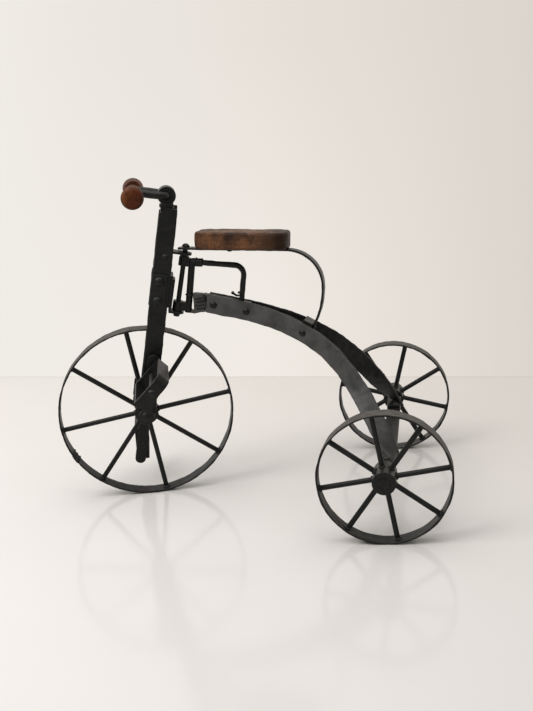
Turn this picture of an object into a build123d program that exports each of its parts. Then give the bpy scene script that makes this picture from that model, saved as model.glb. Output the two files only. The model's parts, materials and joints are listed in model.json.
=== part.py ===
from build123d import *
import math
import os

os.makedirs("parts", exist_ok=True)

# Hand-forged children's tricycle. X points forward, Y to the rider's left, Z up, millimetres.
# The rear axle runs along Y. The model is built about the axle and moved to its own middle last.

# ---- front wheel
front_wheel_radius = 145.0
front_band_width = 25.5
front_band_thickness = 3.0
front_hub_radius = 19.5
front_hub_length = 25.5
front_spoke_phase = 24.1

# ---- rear wheels
rear_wheel_radius = 98.9
rear_band_width = 27.0
rear_band_thickness = 3.0
rear_hub_radius = 17.5
rear_hub_length = 49.0
hub_edge_radius = 1.0
rear_track = 408.0
left_spoke_phase = 35.8
right_spoke_phase = 14.5
hub_recess_radius = 9.9
hub_recess_depth = 4.0

# ---- spokes of all wheels
spoke_count = 8
spoke_radius = 4.0

# ---- fits
running_clearance = 0.08
side_gap = 0.3

# ---- steering axis, and the turn that the fork stands at
rake = 13.0
steer_rest = 15.2
axis_floor_x = 409.0
hub_forward = 27.6

# ---- steering pin, heights along its own axis from the floor
pin_radius = 4.0
pin_nut_radius = 5.4
pin_nut_height = 5.5
pin_head_radius = 6.5
pin_head_height = 5.0
pin_head_gap = 0.1
pin_washer_radius = 7.6
washer_thickness = 2.2
boss_radius = 8.3
upper_boss_low = 397.0
upper_boss_height = 13.5
lower_eye_height = 14.0
post_web_width = 10.0
upper_arm_reach = 10.0
lower_arm_reach = 16.0

# ---- fork
blade_width = 28.5
blade_thickness = 5.0
blade_gap = 34.0
blade_lean = 1.3
blade_length = 345.0
blade_chamfer = 10.0
cheek_width = 25.0
cheek_thickness = 3.5
cheek_proud = 1.0
cheek_below = 19.0
cheek_above = 11.6
fork_bolt_radius = 4.0
fork_bolt_head_radius = 8.0
fork_bolt_head_height = 4.2
fork_bolt_forward = 2.8
lower_bolt_height = 195.0
upper_bolt_height = 227.4
block_length = 29.0
block_margin = 10.0
lug_thickness = 3.5
lug_width = 22.0
lug_corner_radius = 10.5
lug_reach = 11.0
upper_lug_top = 419.0
lower_lug_top = 321.5
web_thickness = 4.0
web_front_x = 14.0
web_height = 56.0
lug_rivet_radius = 3.0
lug_rivet_head_radius = 5.0
lug_rivet_head_height = 2.5
lug_block_height = 10.0
lug_block_length = 16.0
lug_block_x = 31.0

# ---- plates that keep the front axle in the blades
keeper_length = 32.0
keeper_height = 30.0
keeper_thickness = 2.5
keeper_low = 18.0
keeper_forward = 10.7
keeper_corner_radius = 2.0
keeper_bolt_radius = 2.5
keeper_bolt_head_radius = 4.5
keeper_bolt_head_height = 1.8
keeper_bolt_cover = 1.0

# ---- handlebar, its socket and its grips
bar_radius = 6.0
bar_x = 41.3
bar_rise = 17.2
bar_arm_spread = 29.0
bar_forward = 52.5
bar_dip = 1.3
bar_bend_radius = 14.0
bar_half_width = 100.0
grip_droop = 3.0
socket_radius = 14.5
socket_length = 34.0
socket_edge_radius = 1.0
neck_width = 19.0
neck_margin = 23.7
neck_forward = 3.0
grip_length = 58.0
grip_bead_radius = 17.2
grip_waist_radius = 12.8
grip_inner_radius = 13.8
grip_face_radius = 12.2
grip_root_edge = 1.5
grip_root_length = 5.0
grip_waist_place = 0.34
grip_swell_place = 0.78
grip_swell_drop = 0.7
grip_bead_place = 0.88
grip_face_edge = 2.0
grip_face_round = 0.8
grip_end_wall = 9.0

# ---- front axle, cranks and pedals
axle_radius = 6.0
axle_washer_radius = 11.0
crank_length = 75.0
crank_tip = 32.0
crank_width = 18.0
crank_thickness = 6.0
crank_gap = 5.0
crank_eye_radius = 13.0
crank_tilt = 1.0
axle_dome_radius = 8.5
axle_dome_height = 3.5
pedal_length = 58.0
pedal_width = 92.0
pedal_strap_width = 21.0
pedal_strap_thickness = 3.0
pedal_corner_radius = 4.0
pedal_bow_radius = 15.0
pedal_gap = 4.0
left_pedal_angle = 123.0
right_pedal_angle = 78.0
spindle_radius = 4.0
spindle_washer_radius = 7.5
spindle_head_radius = 6.5
spindle_head_height = 3.5

# ---- backbone straps, as a curve from the head to the rear axle
strap_width = 30.0
strap_thickness = 5.0
strap_front_x = 284.3
strap_front_z = 324.7
strap_front_slope = 11.0
strap_front_pull = 225.5
strap_rear_x = -12.0
strap_rear_slope = 56.9
strap_rear_pull = 120.0
strap_rear_y = 135.0
strap_flare_start = 0.11
strap_flare_power = 1.56
strap_twist = 112.0
strap_twist_power = 3.4
strap_sections = 17
strap_run_out = 12.0
foot_length = 56.0
front_rivet_station = 0.018
middle_rivet_station = 0.107
cross_rivet_station = 0.316
cross_rivet_depth = 8.0

# ---- head of the frame
head_plate_thickness = 14.0
head_plate_front_x = 307.0
head_plate_front_top = 341.0
head_plate_front_low = 308.6
head_plate_rear_station = 0.115
head_plate_margin = 1.0
weld_tongue_height = 5.0
weld_tongue_root = 2.0
post_radius = 5.5
post_top_x = 304.7
post_top_z = 392.3
post_bottom_reach = 18.8
post_lift = 0.8
collar_radius = 6.8
collar_length = 12.0
brace_radius = 4.5
brace_drop = 6.7
brace_corner_x = 219.8
brace_corner_z = 381.8
brace_foot_x = 229.0
brace_foot_z = 322.0
brace_bend_radius = 15.0
hook_radius = 1.8
hook_tip_radius = 2.7
hook_z = 334.0
hook_straight = 9.0
hook_reach = 15.0
hook_rise = 4.5
hook_bend_radius = 4.0
rivet_radius = 3.5
rivet_head_radius = 6.0
rivet_head_height = 3.2

# ---- seat and its spring
seat_length = 149.0
seat_width = 76.0
seat_thickness = 27.0
seat_corner_radius = 23.0
seat_edge_radius = 4.0
seat_front_gap = 12.2
seat_lean = 3.0
spring_width = 25.0
spring_thickness = 3.5
spring_tip_radius = 9.0
spring_rise = 3.3
spring_rear_x = 149.5
spring_rear_z = 404.8
spring_tip_reach = 12.0
spring_bend_radius = 58.0
spring_lower_radius = 125.0
spring_foot_slope = 61.0
spring_foot_length = 15.0
spring_hole_radius = 5.2
seat_bolt_forward = 92.5
seat_bolt_radius = 3.0
seat_bolt_depth = 18.0
seat_bolt_head_radius = 5.5
seat_bolt_head_height = 3.0
seat_screw_radius = 1.8
seat_screw_head_radius = 3.6
seat_screw_head_height = 0.9
seat_screw_inset = 26.0

# ---- cross bar that carries the foot of the spring
cross_bar_depth = 16.0
cross_bar_height = 12.0
cross_bar_length = 44.0
foot_bolt_radius = 2.5
foot_bolt_head_radius = 4.5
foot_bolt_head_height = 2.5

# ---- rear axle
axle_bar_width = 22.0
axle_bar_height = 8.0
axle_bar_x = -3.0
axle_bar_rise = 6.1
stub_radius = 7.3
stub_proud = 1.5
stub_root = 12.0
axle_washer_thickness = 3.2
rear_washer_radius = 12.0
ring_radius = 9.3
axle_bolt_radius = 3.5
axle_bolt_head_radius = 6.0
axle_bolt_head_height = 4.0
axle_bolt_inset = 7.0
inner_bolt_shift = 4.0

# ---- places worked out from the sizes above
axis_lean = math.radians(rake)
axis_plane = Plane(
    origin=(axis_floor_x, 0, 0),
    x_dir=(math.cos(axis_lean), 0, math.sin(axis_lean)),
    z_dir=(-math.sin(axis_lean), 0, math.cos(axis_lean)),
)
fork_plane = Plane(axis_plane.location * Rot(0, 0, steer_rest))
fork_ahead = fork_plane.x_dir
fork_left = fork_plane.y_dir
fork_up = fork_plane.z_dir

# The lower edge of the tilted front wheel touches the floor.
front_hub_z = front_wheel_radius * math.sqrt(1 - fork_left.Z**2)
front_hub_z += front_band_width / 2 * abs(fork_left.Z)
hub_up = (front_hub_z - hub_forward * fork_ahead.Z) / fork_up.Z
front_hub = fork_plane.from_local_coords((hub_forward, 0, hub_up))
front_reach = (
    front_hub.X
    + front_wheel_radius * math.sqrt(1 - fork_left.X**2)
    + front_band_width / 2 * abs(fork_left.X)
)
to_middle = Pos(-(front_reach - rear_wheel_radius) / 2, 0, 0)

blade_in = blade_gap / 2
blade_out = blade_in + blade_thickness
crank_in = blade_out + crank_gap
crank_out = crank_in + crank_thickness
hub_place = Pos(hub_forward, 0, hub_up)
blade_place = hub_place * Rot(0, blade_lean, 0)
axle_bar_top = rear_wheel_radius + axle_bar_rise
track_half = rear_track / 2
hub_half = rear_hub_length / 2
shoulder_y = track_half - hub_half - axle_washer_thickness - side_gap
axle_end_y = track_half + hub_half + stub_proud
strap_front_y = (head_plate_thickness + strap_thickness) / 2
foot_top = axle_bar_top + strap_thickness
lower_lug_low = lower_lug_top - lug_thickness
upper_lug_low = upper_lug_top - lug_thickness
lower_eye_low = lower_lug_top + side_gap + washer_thickness
post_top = Vector(post_top_x, 0, post_top_z)
post_bottom = axis_plane.from_local_coords(Vector(-post_bottom_reach, 0, lower_lug_top + post_lift))

# The head of the steering pin rests on the seat spring where the two cross.
rise = math.radians(spring_rise)
spring_fall = spring_rear_z - spring_rear_x * math.tan(rise)
crossing_x = axis_floor_x - spring_fall * math.tan(axis_lean)
crossing_x /= 1 + math.tan(rise) * math.tan(axis_lean)
crossing_z = spring_fall + crossing_x * math.tan(rise)
spring_tilt = math.hypot(math.tan(axis_lean - rise), math.tan(math.radians(seat_lean)))
pin_head_low = crossing_z / math.cos(axis_lean) + spring_thickness / 2
pin_head_low += pin_head_radius * spring_tilt + pin_head_gap
# The seat ends a little behind that head.
seat_front = (crossing_x - spring_rear_x) / math.cos(rise) - pin_head_radius - seat_front_gap


# ---- small shapes used throughout
def crossways(radius, low_y, high_y, x=0.0, z=0.0):
    # a round bar along Y
    return Pos(x, (low_y + high_y) / 2, z) * Rot(90, 0, 0) * Cylinder(radius, high_y - low_y)


def upright(radius, low_z, high_z):
    # a round bar along Z
    return Pos(0, 0, (low_z + high_z) / 2) * Cylinder(radius, high_z - low_z)


def block(low, high):
    # a square block between two opposite corners
    size = [b - a for a, b in zip(low, high)]
    middle = [(a + b) / 2 for a, b in zip(low, high)]
    return Pos(*middle) * Box(*size)


def side_plate(profile, low_y, high_y):
    # a flat plate whose outline is drawn in X and Z
    return Pos(0, high_y, 0) * extrude(Plane.XZ * profile, high_y - low_y)


def dome(radius, height):
    # a low round head that stands on Z = 0
    ball = (radius**2 + height**2) / (2 * height)
    return Pos(0, 0, height - ball) * Sphere(ball) & upright(2 * radius, 0, height)


def side_dome(radius, height, x, y, z):
    # the same head on a side face, pointing away from the middle
    turn = -90 if y > 0 else 90
    return Pos(x, y, z) * Rot(turn, 0, 0) * dome(radius, height)


def both_sides(shape):
    return [shape, mirror(shape, Plane.XZ)]


def solids_of(*shapes):
    found = []
    for shape in shapes:
        found += shape.solids()
    return found


def write(node, *shapes):
    solids = [to_middle * solid for solid in solids_of(*shapes)]
    whole = solids[0] if len(solids) == 1 else Compound(children=solids)
    export_step(whole, f"parts/{node}.step")


def on_fork(*shapes):
    return [fork_plane.location * shape for shape in shapes]


def on_axis(*shapes):
    return [axis_plane.location * shape for shape in shapes]


# ---- wheels, built about the middle of their own hub
def wheel_band(radius, width, thickness):
    return crossways(radius, -width / 2, width / 2) - crossways(radius - thickness, -width, width)


def wheel_spokes(band_inner, hub_radius, phase):
    # round bars whose ends follow the hub and the band
    between = crossways(band_inner, -band_inner, band_inner)
    between -= crossways(hub_radius, -hub_radius, hub_radius)
    spokes = []
    for number in range(spoke_count):
        turn = phase + number * 360 / spoke_count
        bar = Rot(0, 90 - turn, 0) * upright(spoke_radius, hub_radius / 2, band_inner + spoke_radius)
        spokes.append(bar & between)
    return spokes


def rear_hub():
    # tube with a shallow recess round the end of the axle
    barrel = crossways(rear_hub_radius, -hub_half, hub_half)
    bore = crossways(stub_radius + running_clearance, -rear_hub_length, rear_hub_length)
    recess = crossways(hub_recess_radius, hub_half - hub_recess_depth, rear_hub_length)
    barrel = fillet(barrel.edges().filter_by(GeomType.CIRCLE), hub_edge_radius)
    return barrel - bore - recess


def rear_wheel(side, phase, place):
    band = wheel_band(rear_wheel_radius, rear_band_width, rear_band_thickness)
    spokes = wheel_spokes(rear_wheel_radius - rear_band_thickness, rear_hub_radius, phase)
    hub = rear_hub()
    if side == "right":
        hub = mirror(hub, Plane.XZ)
    write(f"{side}_rim", place * band)
    write(f"{side}_spokes", *[place * spoke for spoke in spokes])
    write(f"{side}_hub", place * hub)


rear_wheel("left", left_spoke_phase, Pos(0, track_half, rear_wheel_radius))
rear_wheel("right", right_spoke_phase, Pos(0, -track_half, rear_wheel_radius))


# ---- front wheel with its axle, cranks and pedals
def front_wheel():
    band = wheel_band(front_wheel_radius, front_band_width, front_band_thickness)
    band_inner = front_wheel_radius - front_band_thickness
    spokes = wheel_spokes(band_inner, front_hub_radius, front_spoke_phase)
    hub = crossways(front_hub_radius, -front_hub_length / 2, front_hub_length / 2)
    hub = fillet(hub.edges().filter_by(GeomType.CIRCLE), hub_edge_radius)
    hub -= crossways(axle_radius, -front_hub_length, front_hub_length)
    write("front_rim", *on_fork(hub_place * band))
    write("front_spokes", *on_fork(*[hub_place * spoke for spoke in spokes]))
    write("front_hub", *on_fork(hub_place * hub))


def front_axle():
    # round bar with a domed head outside each crank
    bar = crossways(axle_radius, -crank_out, crank_out)
    for side in (1, -1):
        bar += side_dome(axle_dome_radius, axle_dome_height, 0, side * crank_out, 0)
    write("front_axle", *on_fork(hub_place * bar))


def spacer(low_y, high_y, outer, inner, z=0.0):
    return crossways(outer, low_y, high_y, 0, z) - crossways(inner, low_y - outer, high_y + outer, 0, z)


def axle_spacers():
    # rings that keep the hub and the cranks off the blades
    inner = spacer(front_hub_length / 2, blade_in - side_gap, axle_washer_radius, axle_radius)
    outer = spacer(blade_out + side_gap, crank_in, axle_washer_radius, axle_radius)
    rings = [hub_place * ring for shape in (inner, outer) for ring in both_sides(shape)]
    write("axle_spacers", *on_fork(*rings))


def crank_place(side):
    # the left crank stands up and the right one hangs down
    return hub_place * Rot(0, crank_tilt + (0 if side > 0 else 180), 0)


def crank(side):
    # flat bar with a round eye on the axle and a round tip past the spindle
    straight = crank_length + crank_tip - crank_width / 2
    outline = Circle(crank_eye_radius)
    outline += Pos(0, straight / 2) * Rectangle(crank_width, straight)
    outline += Pos(0, straight) * Circle(crank_width / 2)
    arm = side_plate(outline, crank_in, crank_out)
    arm -= crossways(axle_radius, 0, 2 * crank_out)
    arm -= crossways(spindle_radius, 0, 2 * crank_out, 0, crank_length)
    return arm if side > 0 else mirror(arm, Plane.XZ)


pedal_in = crank_out + pedal_gap
pedal_out = pedal_in + pedal_width


def spindle():
    # pin riveted in the crank, with a domed head outside the pedal
    head_y = pedal_out + side_gap
    pin = crossways(spindle_radius, crank_in, head_y, 0, crank_length)
    return pin + side_dome(spindle_head_radius, spindle_head_height, 0, head_y, crank_length)


def pedal(angle):
    # closed loop of flat strap, bowed at its outer rear corner, about the spindle
    outline = Rectangle(pedal_length, pedal_width)
    corners = outline.vertices().sort_by(lambda corner: corner.X + corner.Y)
    outline = fillet(corners[-1], pedal_bow_radius)
    corners = outline.vertices().sort_by(lambda corner: corner.X + corner.Y)
    outline = fillet(corners[0], pedal_corner_radius)
    inside = offset(outline, -pedal_strap_thickness)
    loop = extrude(outline, pedal_strap_width / 2, both=True)
    loop -= extrude(inside, pedal_strap_width, both=True)
    loop = Pos(0, pedal_in + pedal_width / 2, 0) * Rot(0, -angle, 0) * loop
    return loop - crossways(spindle_radius + running_clearance, 0, 2 * pedal_out)


def cranks_and_pedals():
    spindles = []
    washers = []
    for side, name, angle in ((1, "left", left_pedal_angle), (-1, "right", right_pedal_angle)):
        place = crank_place(side)
        write(f"{name}_crank", *on_fork(place * crank(side)))
        pin = spindle()
        washer = spacer(
            crank_out, pedal_in - side_gap, spindle_washer_radius, spindle_radius, crank_length
        )
        loop = pedal(angle)
        if side < 0:
            pin, washer, loop = [mirror(shape, Plane.XZ) for shape in (pin, washer, loop)]
        spindles.append(place * pin)
        washers.append(place * washer)
        eye = place * Pos(0, 0, crank_length)
        level = Pos(eye.position) * loop
        write(f"{name}_pedal", *on_fork(level))
    write("pedal_spindles", *on_fork(*spindles))
    write("spindle_washers", *on_fork(*washers))


# ---- fork, drawn about the steering axis; the blades lean forward at the top
def blade():
    outline = Pos(0, blade_length / 2) * Rectangle(blade_width, blade_length)
    top = outline.vertices().sort_by(Axis.Y)[-2:].sort_by(Axis.X)[-1]
    outline = chamfer(top, blade_chamfer)
    outline += Circle(blade_width / 2)
    return blade_place * side_plate(outline, blade_in, blade_out)


def fork_bolts():
    # round bars through blades, cheeks and block with a large domed head at each end
    bolts = []
    head_y = blade_out + cheek_thickness
    for height in (lower_bolt_height, upper_bolt_height):
        bolt = crossways(fork_bolt_radius, -head_y, head_y, fork_bolt_forward, height)
        for side in (1, -1):
            bolt += side_dome(
                fork_bolt_head_radius, fork_bolt_head_height, fork_bolt_forward, side * head_y, height
            )
        bolts.append(blade_place * bolt)
    return bolts


def keeper():
    # small plate on the outside of a blade, ahead of the axle
    low = (blade_width / 2 + keeper_forward - keeper_length, blade_out, keeper_low)
    high = (blade_width / 2 + keeper_forward, blade_out + keeper_thickness, keeper_low + keeper_height)
    plate = block(low, high)
    return blade_place * fillet(plate.edges().filter_by(Axis.Y), keeper_corner_radius)


def keeper_bolt():
    x = blade_width / 2 - keeper_bolt_radius - keeper_bolt_cover
    z = keeper_low + keeper_height - keeper_bolt_head_radius - keeper_bolt_cover
    head_y = blade_out + keeper_thickness
    bolt = crossways(keeper_bolt_radius, blade_in, head_y, x, z)
    bolt += side_dome(keeper_bolt_head_radius, keeper_bolt_head_height, x, head_y, z)
    return blade_place * bolt


def lug(front, low):
    # flat plate with a round nose, bored for the steering pin
    half = lug_width / 2
    plate = block((-lug_reach, -half, low), (front, half, low + lug_thickness))
    plate = fillet(plate.edges().filter_by(Axis.Z).sort_by(Axis.X)[:2], lug_corner_radius)
    return plate - upright(pin_radius + running_clearance, 0, low + web_height)


def fork_head():
    bolts = fork_bolts()
    rivet_z = upper_lug_low - lug_block_height / 2
    rivet = crossways(lug_rivet_radius, -blade_out, blade_out, lug_block_x, rivet_z)
    for side in (1, -1):
        rivet += side_dome(
            lug_rivet_head_radius, lug_rivet_head_height, lug_block_x, side * blade_out, rivet_z
        )
    axle_bore = hub_place * crossways(axle_radius + running_clearance, -crank_out, crank_out)
    bolt = keeper_bolt()
    for name, shape in zip(("left", "right"), both_sides(blade() - axle_bore - rivet - bolt)):
        write(f"{name}_blade", *on_fork(shape - bolts[0] - bolts[1] - rivet))
    cheek_low = lower_bolt_height - cheek_below
    cheek_high = upper_bolt_height + cheek_above
    cheek_front = blade_width / 2 + cheek_proud
    low = (cheek_front - cheek_width, blade_out, cheek_low)
    high = (cheek_front, blade_out + cheek_thickness, cheek_high)
    cheek = blade_place * block(low, high) - bolts[0] - bolts[1]
    write("fork_cheeks", *on_fork(*both_sides(cheek)))
    write("fork_bolts", *on_fork(*bolts))
    write("axle_keepers", *on_fork(*both_sides(keeper() - bolt)))
    write("keeper_bolts", *on_fork(*both_sides(bolt)))

    block_low = hub_up + lower_bolt_height - block_margin
    block_high = hub_up + upper_bolt_height + block_margin
    spacing = block(
        (web_front_x, -blade_in, block_low),
        (web_front_x + block_length, blade_in, block_high),
    )
    write("fork_block", *on_fork(spacing - bolts[0] - bolts[1]))

    lug_front = lug_block_x + lug_block_length / 2
    write("upper_lug", *on_fork(lug(lug_front, upper_lug_low)))
    seat_low = (lug_front - lug_block_length, -blade_in, upper_lug_low - lug_block_height)
    seat_high = (lug_front, blade_in, upper_lug_low)
    write("lug_block", *on_fork(block(seat_low, seat_high) - rivet))
    write("lug_rivet", *on_fork(rivet))

    shelf = lug(web_front_x, lower_lug_low)
    web = block(
        (web_front_x - web_thickness, -lug_width / 2, lower_lug_low),
        (web_front_x, lug_width / 2, lower_lug_low + web_height),
    )
    write("lower_lug", *on_fork(shelf + web))


# ---- handlebar; it is set level with the floor while the fork stands at rest
bar_trim = math.degrees(math.atan(math.sin(math.radians(steer_rest)) * math.tan(axis_lean)))
bar_z = hub_up + blade_length + bar_rise
bar_place = Pos(bar_x, 0, bar_z) * Rot(bar_trim, 0, 0)
grip_root = bar_half_width - grip_length
droop_fall = math.tan(math.radians(grip_droop))


def handlebar():
    # one round bar: through the socket, forward on both sides, then out to the grips
    end_y = bar_half_width - grip_end_wall
    end_z = -bar_dip - (end_y - bar_arm_spread) * droop_fall
    corners = [
        (bar_forward, end_y, end_z),
        (bar_forward, bar_arm_spread, -bar_dip),
        (0, bar_arm_spread, 0),
        (0, -bar_arm_spread, 0),
        (bar_forward, -bar_arm_spread, -bar_dip),
        (bar_forward, -end_y, end_z),
    ]
    path = FilletPolyline(*corners, radius=bar_bend_radius)
    section = Plane(origin=path @ 0, z_dir=path % 0) * Circle(bar_radius)
    return bar_place * sweep(section, path=path)


def grip():
    # turned handle: a ring at the inner end, a waist, and a rounded bead at the outer end
    swell = Spline(
        (grip_inner_radius, grip_root_length),
        (grip_waist_radius, grip_waist_place * grip_length),
        (grip_bead_radius - grip_swell_drop, grip_swell_place * grip_length),
        (grip_bead_radius, grip_bead_place * grip_length),
        (grip_face_radius + grip_face_edge, grip_length - grip_face_round),
    )
    face = Line(swell @ 1, (grip_face_radius, grip_length))
    end = Line(face @ 1, (0, grip_length))
    spine = Line((0, grip_length), (0, 0))
    root = Polyline(
        (0, 0),
        (grip_inner_radius - grip_root_edge, 0),
        (grip_inner_radius, grip_root_edge),
        (grip_inner_radius, grip_root_length),
    )
    profile = Plane.XZ * make_face([swell, face, end, spine, root])
    turned = revolve(profile, Axis.Z, 360)
    lie = Rot(-90 - grip_droop, 0, 0)
    root_z = -bar_dip - (grip_root - bar_arm_spread) * droop_fall
    return Pos(bar_forward, grip_root, root_z) * lie * turned


def bar_socket():
    collar = bar_place * crossways(socket_radius, -socket_length / 2, socket_length / 2)
    collar = fillet(collar.edges().filter_by(GeomType.CIRCLE), socket_edge_radius)
    neck = block(
        (neck_forward - neck_width / 2, -blade_in, upper_lug_top - hub_up + neck_margin),
        (neck_forward + neck_width / 2, blade_in, blade_length + socket_radius / 2),
    )
    return collar + blade_place * neck


def handlebar_parts():
    bar = handlebar()
    write("handlebar", *on_fork(bar))
    write("bar_socket", *on_fork(bar_socket() - bar))
    for name, shape in zip(("left", "right"), both_sides(grip())):
        write(f"{name}_grip", *on_fork(bar_place * shape - bar))


# ---- steering pin and the forged head that holds it, drawn about the axis of the frame
def steering_pin():
    nut_top = lower_lug_low - side_gap
    nut = Pos(0, 0, nut_top - pin_nut_height / 2) * Sphere(pin_nut_radius)
    nut &= upright(2 * pin_nut_radius, nut_top - pin_nut_height, nut_top)
    pin = upright(pin_radius, nut_top - pin_nut_height, pin_head_low)
    head = Pos(0, 0, pin_head_low) * dome(pin_head_radius, pin_head_height)
    write("steering_pin", *on_axis(pin + head))
    write("pin_nut", *on_axis(nut - pin))
    boss_top = upper_boss_low + upper_boss_height
    rings = [
        upright(pin_washer_radius, boss_top, boss_top + washer_thickness) - pin,
        upright(pin_washer_radius, lower_lug_top + side_gap, lower_eye_low) - pin,
    ]
    write("pin_washers", *on_axis(*rings))


def head_post():
    # forged post with an eye at each end for the pin
    eyes = upright(boss_radius, upper_boss_low, upper_boss_low + upper_boss_height)
    eyes += upright(boss_radius, lower_eye_low, lower_eye_low + lower_eye_height)
    for low, height, reach in (
        (upper_boss_low, upper_boss_height, upper_arm_reach),
        (lower_eye_low, lower_eye_height, lower_arm_reach),
    ):
        eyes += block((-reach, -post_web_width / 2, low), (0, post_web_width / 2, low + height))
    bore = upright(pin_radius, 0, upper_boss_low + 2 * upper_boss_height)
    forging = axis_plane.location * eyes
    run = post_top - post_bottom
    stem = Plane(origin=post_bottom, z_dir=run).location * upright(post_radius, 0, run.length)
    forging += stem + Pos(*post_top) * Sphere(post_radius)
    return forging - axis_plane.location * bore


# ---- backbone: two flat straps that part and twist on their way to the axle
def strap_point(station):
    # the left strap's centreline, from 0 at the head to 1 at the axle
    slope = math.radians(strap_front_slope)
    fall = math.radians(strap_rear_slope)
    ends_x = [
        strap_front_x,
        strap_front_x - strap_front_pull * math.cos(slope),
        strap_rear_x + strap_rear_pull * math.cos(fall),
        strap_rear_x,
    ]
    ends_z = [
        strap_front_z,
        strap_front_z - strap_front_pull * math.sin(slope),
        axle_bar_top + strap_rear_pull * math.sin(fall),
        axle_bar_top,
    ]
    rest = 1 - station
    shares = (rest**3, 3 * rest**2 * station, 3 * rest * station**2, station**3)
    x = sum(share * value for share, value in zip(shares, ends_x))
    z = sum(share * value for share, value in zip(shares, ends_z))
    parting = max(0.0, (station - strap_flare_start) / (1 - strap_flare_start))
    y = strap_front_y + (strap_rear_y - strap_front_y) * parting**strap_flare_power
    return Vector(x, y, z)


def strap_section(station):
    # plane across the strap: X up the width, Y through the thickness, Z along the run
    step = 0.001
    start = max(0.0, station - step)
    finish = min(1.0, station + step)
    along = (strap_point(finish) - strap_point(start)).normalized()
    outward = along.cross(Vector(0, 0, 1)).normalized()
    if outward.Y < 0:
        outward = -outward
    width_way = along.cross(outward).normalized()
    if width_way.Z < 0:
        width_way = -width_way
    turn = -strap_twist * station**strap_twist_power
    width_way = width_way.rotate(Axis((0, 0, 0), along), turn)
    return Plane(origin=strap_point(station), x_dir=width_way, z_dir=along)


def through_rivet(station):
    # rivet through both straps and what is between them, with a head on each outer face
    middle = strap_point(station)
    face_y = middle.Y + strap_thickness / 2
    rivet = crossways(rivet_radius, -face_y, face_y, middle.X, middle.Z)
    for side in (1, -1):
        rivet += side_dome(rivet_head_radius, rivet_head_height, middle.X, side * face_y, middle.Z)
    return rivet


def cross_rivet():
    # rivet through the left strap into the end of the cross bar, square to the strap
    place = strap_section(cross_rivet_station)
    outward = place.y_dir if place.y_dir.Y > 0 else -place.y_dir
    face = Plane(origin=place.origin + outward * (strap_thickness / 2), z_dir=outward)
    rivet = upright(rivet_radius, -strap_thickness - cross_rivet_depth, 0)
    rivet += dome(rivet_head_radius, rivet_head_height)
    return face.location * rivet


def strap():
    sections = []
    for number in range(strap_sections):
        place = strap_section(number / (strap_sections - 1))
        sections.append(place * Rectangle(strap_width, strap_thickness))
    last = strap_section(1.0)
    run_out = last.offset(strap_run_out)
    sections.append(run_out * Rectangle(strap_width, strap_thickness))
    band = loft(sections)
    below = block((-rear_wheel_radius, 0, 0), (rear_wheel_radius, rear_track, axle_bar_top))
    foot = block(
        (axle_bar_x - axle_bar_width / 2, strap_rear_y - foot_length / 2, axle_bar_top),
        (axle_bar_x + axle_bar_width / 2, strap_rear_y + foot_length / 2, foot_top),
    )
    return (band - below) + foot


def axle_bolts():
    # domed bolts that hold each strap's foot down on the axle bar
    bolts = []
    for x, y in (
        (axle_bar_x - inner_bolt_shift, strap_rear_y - foot_length / 2 + axle_bolt_inset),
        (axle_bar_x, strap_rear_y + foot_length / 2 - axle_bolt_inset),
    ):
        bolt = upright(axle_bolt_radius, axle_bar_top - axle_bar_height, foot_top)
        head = dome(axle_bolt_head_radius, axle_bolt_head_height)
        bolt += Pos(0, 0, foot_top) * head
        bolt += Pos(0, 0, axle_bar_top - axle_bar_height) * Rot(180, 0, 0) * head
        bolts += both_sides(Pos(x, y, 0) * bolt)
    return bolts


def less(shape, cutters):
    for cutter in cutters:
        shape -= cutter
    return shape


def head_plate(post):
    # thick plate between the straps, with two welded tongues that reach the post
    margin = strap_width / 2 - head_plate_margin
    front = strap_section(0.0)
    rear = strap_section(head_plate_rear_station)
    corners = [
        (head_plate_front_x, head_plate_front_top),
        (head_plate_front_x, head_plate_front_low),
    ]
    for place, side in ((front, -1), (rear, -1), (rear, 1), (front, 1)):
        corner = place.origin + place.x_dir * (side * margin)
        corners.append((corner.X, corner.Z))
    half = head_plate_thickness / 2
    plate = side_plate(make_face(Polyline(*corners, close=True)), -half, half)
    slant = (post_bottom.X - post_top.X) / (post_top.Z - post_bottom.Z)
    for low in (head_plate_front_low, head_plate_front_top - weld_tongue_height):
        post_x = post_top.X + (post_top.Z - low - weld_tongue_height) * slant
        plate += block(
            (head_plate_front_x - weld_tongue_root, -half / 2, low),
            (post_x - post_radius / 2, half / 2, low + weld_tongue_height),
        )
    return plate - post


def brace_bar(post, plate):
    # round bar from the top of the post, bent down to the plate
    start_z = brace_corner_z + (post_top_x - brace_corner_x) * math.tan(math.radians(brace_drop))
    path = FilletPolyline(
        (post_top_x, 0, start_z),
        (brace_corner_x, 0, brace_corner_z),
        (brace_foot_x, 0, brace_foot_z),
        radius=brace_bend_radius,
    )
    bar = sweep(Plane(origin=path @ 0, z_dir=path % 0) * Circle(brace_radius), path=path)
    collar = upright(collar_radius, 0, collar_length + post_radius)
    collar = Plane(origin=path @ 0, z_dir=path % 0).location * collar
    return bar + collar - post - plate


def brace_hook(bar):
    # wire hook at the foot of the brace, turned up to a small ball
    slant = (brace_foot_x - brace_corner_x) / (brace_corner_z - brace_foot_z)
    root_x = brace_foot_x - (hook_z - brace_foot_z) * slant
    path = FilletPolyline(
        (root_x, 0, hook_z),
        (root_x + hook_straight, 0, hook_z),
        (root_x + hook_reach, 0, hook_z + hook_rise),
        radius=hook_bend_radius,
    )
    wire = sweep(Plane(origin=path @ 0, z_dir=path % 0) * Circle(hook_radius), path=path)
    ball = Pos(*(path @ 1)) * Sphere(hook_tip_radius)
    return (wire + ball) - bar


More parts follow.
